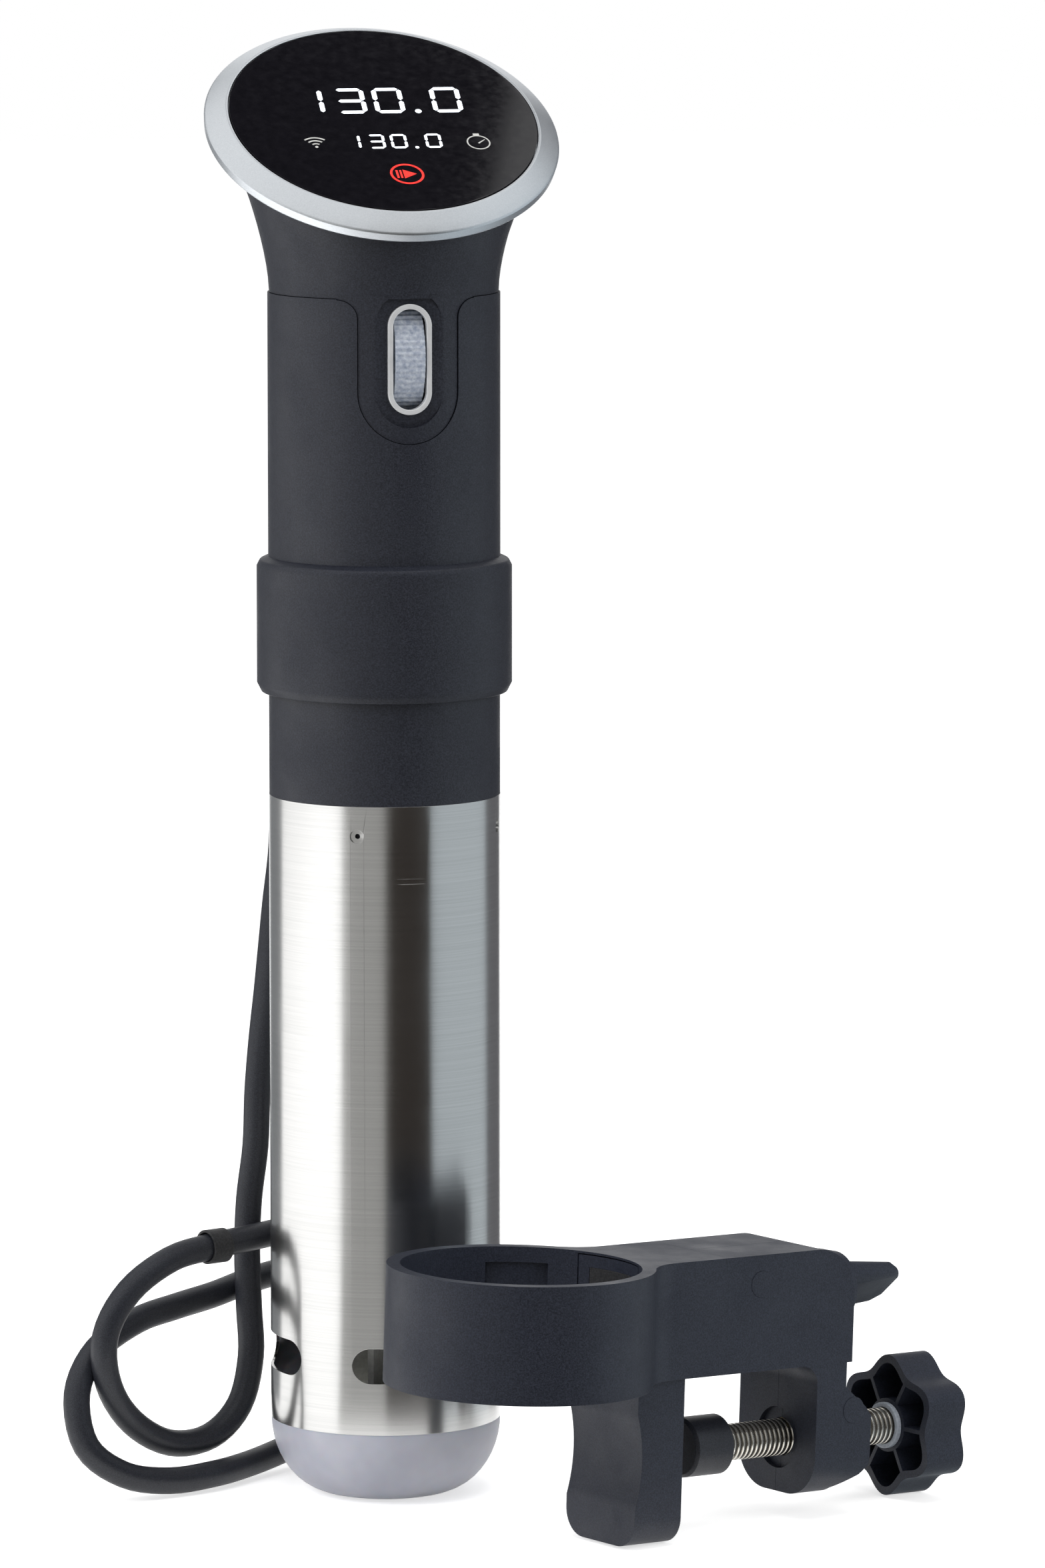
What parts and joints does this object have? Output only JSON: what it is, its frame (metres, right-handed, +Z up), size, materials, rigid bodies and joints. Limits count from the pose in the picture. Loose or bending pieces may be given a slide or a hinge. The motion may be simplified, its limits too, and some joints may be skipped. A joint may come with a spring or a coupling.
{
  "type": "sous vide circulator",
  "caption": "Slim immersion circulator with a tilted round display, thumb wheel, steel heating skirt, looped mains lead and a separate screw clamp for the pot wall.",
  "frame": {"origin": "centre of the flat face under the foot cap, on the surface that it stands on", "axes": "+Z up along the tube, display and wheel towards -Y, +X to the right of the display"},
  "size_m": [0.2273, 0.3123, 0.3792],
  "materials": {
    "housing_plastic": "fine matte moulded texture",
    "frosted_plastic": "frosted translucent grey",
    "brushed_steel": "brushed along the tube",
    "satin_bezel": "satin",
    "black_glass": "gloss black glass",
    "bright_chrome": "bright",
    "clear_plastic": "clear, finely ribbed",
    "steel_rod": "bright zinc",
    "inner_plastic": "matte",
    "board_green": "board lacquer",
    "screw_steel": "bright",
    "seal_rubber": "matte",
    "bronze": "sintered",
    "pump_white": "matte",
    "heater_steel": "satin",
    "motor_grey": "satin",
    "cord_rubber": "satin",
    "brass": "bright",
    "nylon": "satin"
  },
  "bodies": {
    "circulator": {"lower_housing": "housing_plastic", "grip_collar": "housing_plastic", "upper_housing": "housing_plastic", "head_shell": "housing_plastic", "display_bezel": "satin_bezel", "display_glass": "black_glass", "display_module": "inner_plastic", "display_board": "board_green", "board_screws": "screw_steel", "window_frame": "bright_chrome", "wheel_axle": "steel_rod", "wheel_bracket": "inner_plastic", "bulkhead": "brushed_steel", "bulkhead_seal": "seal_rubber", "bulkhead_screws": "screw_steel", "shaft_tube": "brushed_steel", "shaft_bush": "bronze", "heater_coil": "heater_steel", "temperature_probe": "steel_rod", "level_rods": "steel_rod", "motor_mount": "inner_plastic", "motor_case": "motor_grey", "motor_bearing": "steel_rod", "power_board": "board_green", "power_components": "inner_plastic", "strain_relief": "cord_rubber", "cord_lead": "cord_rubber", "cord_band": "seal_rubber", "plug_body": "cord_rubber", "plug_pins": "brass"},
    "skirt": {"steel_skirt": "brushed_steel"},
    "foot": {"foot_cap": "frosted_plastic"},
    "wheel": {"control_wheel": "clear_plastic"},
    "drive": {"drive_shaft": "steel_rod", "impeller": "pump_white", "motor_rotor": "motor_grey"},
    "pot_clamp": {"clamp_ring": "housing_plastic", "jaw_near": "housing_plastic", "jaw_far": "housing_plastic", "jaw_screw_plugs": "housing_plastic", "jaw_screws": "screw_steel", "screw_nut": "brass", "wing_nut_insert": "brass"},
    "cup_slide": {"pressure_cup": "cord_rubber"},
    "clamp_spindle": {"clamp_screw": "steel_rod", "hand_knob": "housing_plastic", "knob_washer": "nylon"},
    "shoe_slide": {"pressure_shoe": "housing_plastic", "shoe_pad": "seal_rubber"},
    "wing_screw": {"wing_head": "housing_plastic", "wing_rod": "steel_rod"}
  },
  "joints": [
    {"name": "skirt_twist", "type": "hinge", "parent": "circulator", "child": "skirt", "pos_m": [0, 0, 0.1], "axis": [0, 0, 1], "range_deg": [0, 20]},
    {"name": "foot_twist", "type": "hinge", "parent": "skirt", "child": "foot", "pos_m": [0, 0, 0.01], "axis": [0, 0, 1], "range_deg": [0, 20]},
    {"name": "wheel_spin", "type": "hinge", "parent": "circulator", "child": "wheel", "pos_m": [0, -0.0133, 0.298], "axis": [1, 0, 0], "continuous": true},
    {"name": "drive_spin", "type": "hinge", "parent": "circulator", "child": "drive", "pos_m": [0, 0, 0.1], "axis": [0, 0, 1], "continuous": true},
    {"name": "clamp_lift", "type": "slide", "parent": "circulator", "child": "pot_clamp", "axis": [0, 0, 1], "range_m": [0, 0.15]},
    {"name": "cup_travel", "type": "slide", "parent": "pot_clamp", "child": "cup_slide", "axis": [-0.9129, -0.4064, 0.038], "range_m": [-0.019, 0.0095]},
    {"name": "knob_turn", "type": "hinge", "parent": "cup_slide", "child": "clamp_spindle", "pos_m": [0.12371, -0.04282, 0.01896], "axis": [-0.9129, -0.4064, 0.038], "range_deg": [-4560, 2280]},
    {"name": "shoe_travel", "type": "slide", "parent": "pot_clamp", "child": "shoe_slide", "axis": [-0.9129, -0.4064, 0.038], "range_m": [-0.002, 0.0012]},
    {"name": "wing_turn", "type": "hinge", "parent": "shoe_slide", "child": "wing_screw", "pos_m": [0.10167, -0.05263, 0.058], "axis": [-0.9129, -0.4064, 0.038], "range_deg": [-720, 432]}
  ],
  "couplings": [
    {"joint": "knob_turn", "follows": "cup_travel", "rad_per_m": 4188.8},
    {"joint": "wing_turn", "follows": "shoe_travel", "rad_per_m": 6283.2}
  ]
}
